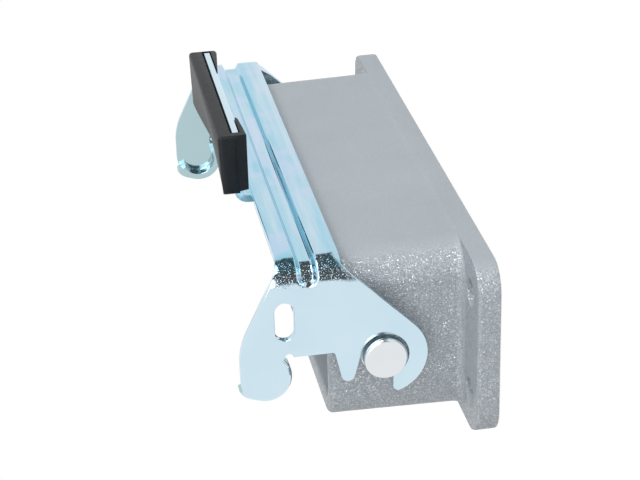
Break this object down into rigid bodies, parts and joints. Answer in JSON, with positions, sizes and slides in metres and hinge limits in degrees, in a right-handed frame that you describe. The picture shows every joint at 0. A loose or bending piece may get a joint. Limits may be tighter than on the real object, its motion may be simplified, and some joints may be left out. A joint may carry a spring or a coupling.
{
  "type": "rectangular connector base housing",
  "caption": "Panel-mounted base housing for a heavy duty rectangular connector, open through the middle, with a pivoting locking lever and a moulded grip.",
  "frame": {"origin": "centre of the four-hole pattern, on the mounting face under the flange", "axes": "+Z is the mating direction, out of the mouth; X runs along the flange's length and through both pivot pegs; the lever's crossbar and grip are on the -Y side"},
  "size_m": [0.096, 0.0432, 0.0399],
  "materials": {
    "powder_coat": "grey powder coat with a fine metallic sparkle",
    "black_rubber": "matt black rubber",
    "bright_steel": "turned bright steel",
    "zinc_plate": "glossy zinc plating with a pale blue tint",
    "black_plastic": "moulded black plastic, satin"
  },
  "bodies": {
    "base": {"housing": "powder_coat", "flange_gasket": "black_rubber", "pivot_peg_left": "bright_steel", "pivot_peg_right": "bright_steel"},
    "lever": {"locking_lever": "zinc_plate", "lever_grip": "black_plastic"}
  },
  "joints": [
    {"name": "lever_pivot", "type": "hinge", "parent": "base", "child": "lever", "pos_m": [0, 0, 0.0173], "axis": [1, 0, 0], "range_deg": [-110, 47]}
  ]
}
